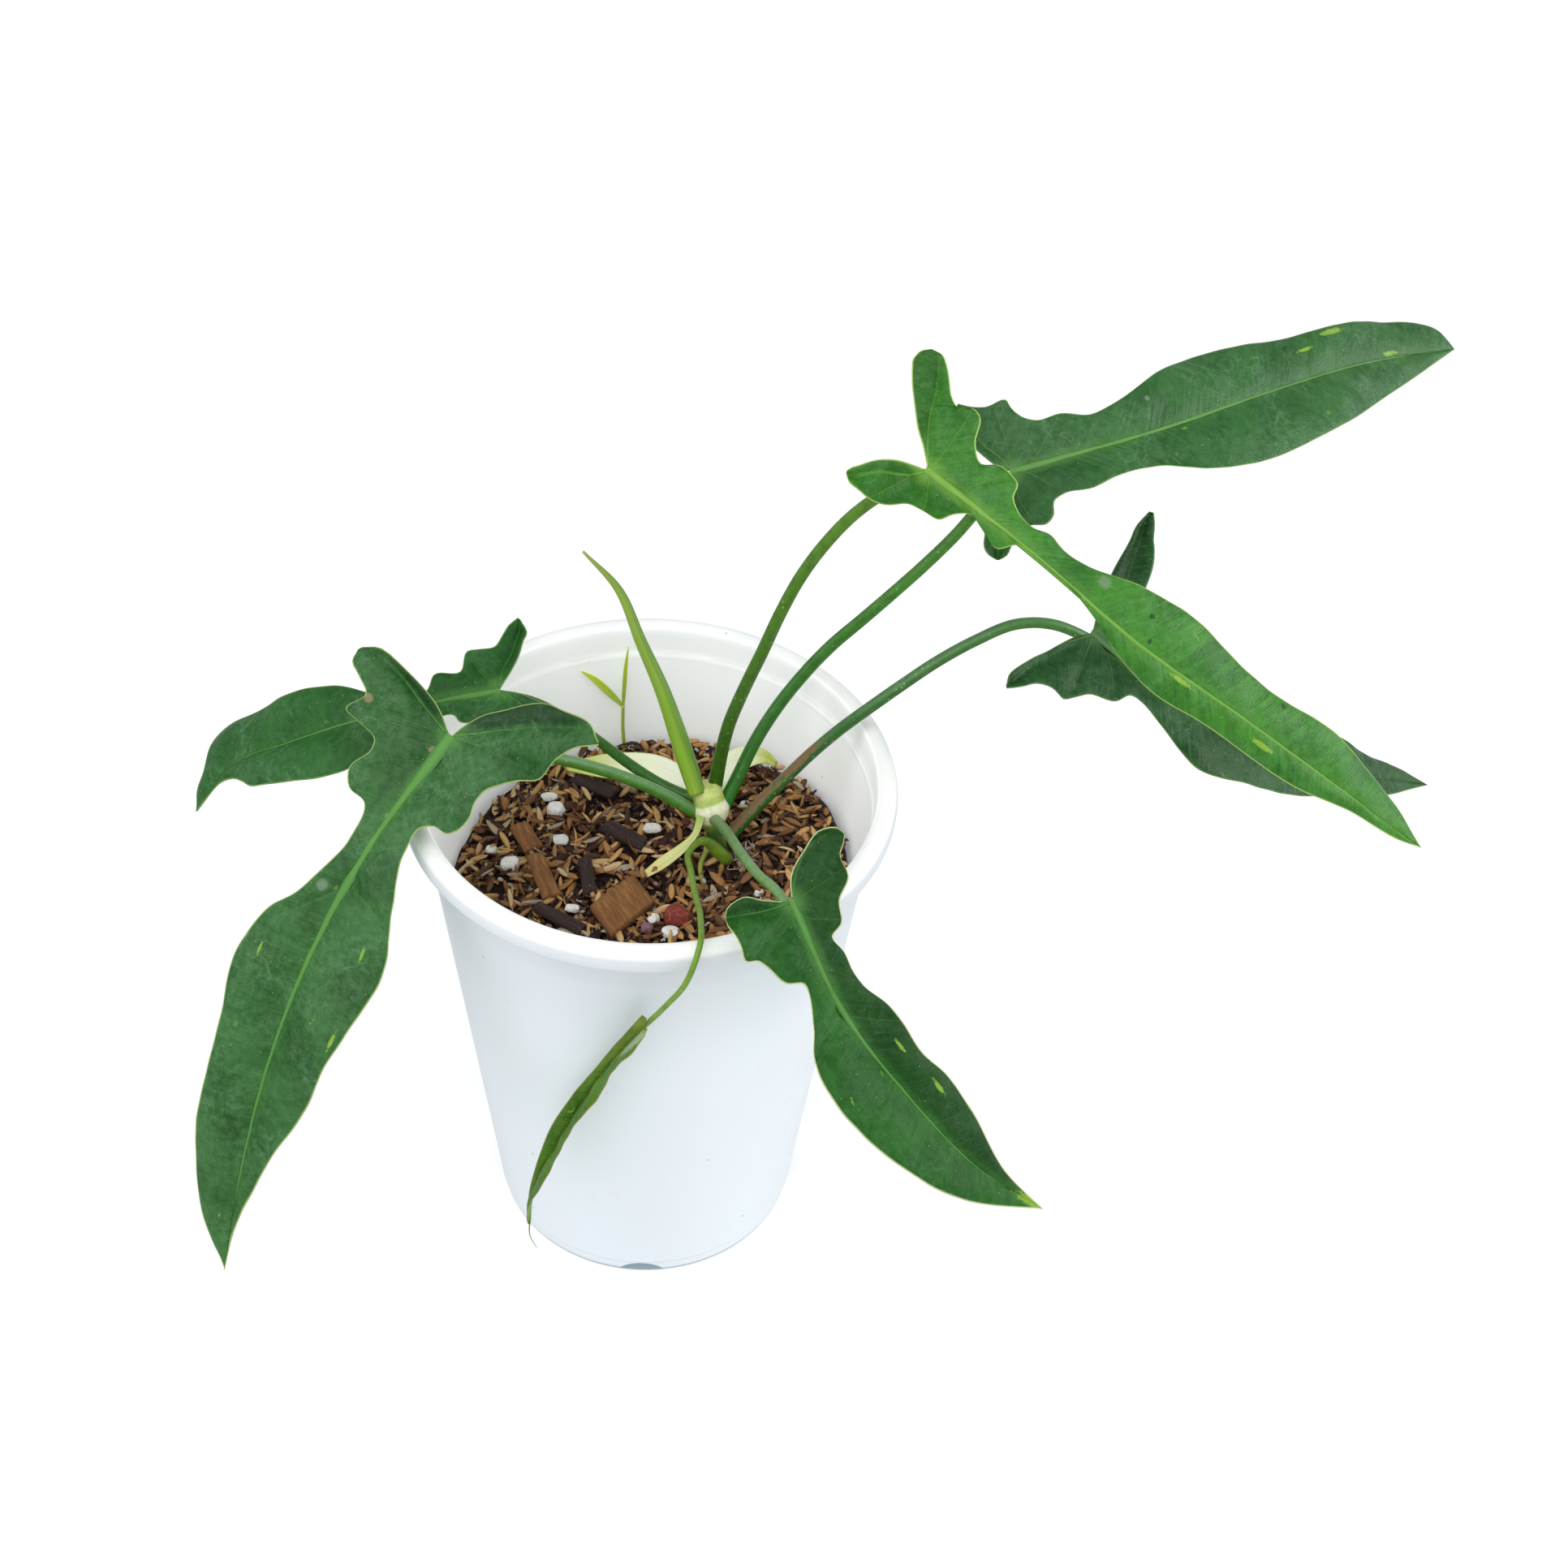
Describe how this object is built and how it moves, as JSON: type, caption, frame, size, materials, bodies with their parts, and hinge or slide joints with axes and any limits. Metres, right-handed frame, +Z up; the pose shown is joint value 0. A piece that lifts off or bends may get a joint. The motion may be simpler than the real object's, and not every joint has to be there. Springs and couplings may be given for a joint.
{
  "type": "potted plant",
  "caption": "Foliage plant with long three-lobed leaves on slender stalks, growing in a tapered round pot with a rim collar.",
  "frame": {"origin": "centre of the flat disc under the pot, on the surface that it stands on", "axes": "+Z up along the pot's axis; -Y toward the front, where the hanging leaves come over the rim; +X right, toward the longest leaves"},
  "size_m": [0.5361, 0.3638, 0.3965],
  "materials": {
    "pot_plastic": "smooth moulded white plastic, semi-gloss, lightly scuffed",
    "growing_mix": "rough, loose rice hulls and bark over dark fines",
    "husk": "rough fibrous golden-brown husk",
    "bark": "rough dark purple-brown bark",
    "red_stone": "dull brick red, fired clay look",
    "violet_stone": "dull violet-grey",
    "brown_stone": "dull red-brown",
    "perlite": "chalky white, porous",
    "stem_tissue": "waxy, cream to pale green",
    "bright_leaf": "bright green leaf, soft sheen",
    "dark_leaf": "dark green leaf, soft sheen",
    "olive_leaf": "olive green leaf, soft sheen",
    "new_leaf": "yellow-green rolled leaf, soft sheen",
    "grass": "yellow-green grass blade"
  },
  "bodies": {
    "root": {"pot": "pot_plastic", "growing_mix": "growing_mix", "stem": "stem_tissue", "leaf_upper_right_front": "bright_leaf", "leaf_upper_right_back": "dark_leaf", "leaf_right": "dark_leaf", "leaf_front_right": "dark_leaf", "leaf_front_left": "dark_leaf", "leaf_back_left": "dark_leaf", "leaf_hanging": "olive_leaf", "new_leaf": "new_leaf", "grass_seedling": "grass", "husk_chip_1": "husk", "husk_chip_2": "husk", "husk_chip_3": "husk", "bark_strip_1": "bark", "bark_strip_2": "bark", "bark_strip_3": "bark", "bark_strip_4": "bark", "red_stone": "red_stone", "violet_stone": "violet_stone", "brown_stone": "brown_stone", "perlite_1": "perlite", "perlite_2": "perlite", "perlite_3": "perlite", "perlite_4": "perlite", "perlite_5": "perlite", "perlite_6": "perlite", "perlite_7": "perlite", "perlite_8": "perlite", "perlite_9": "perlite", "perlite_10": "perlite", "perlite_11": "perlite", "perlite_12": "perlite"}
  },
  "joints": []
}
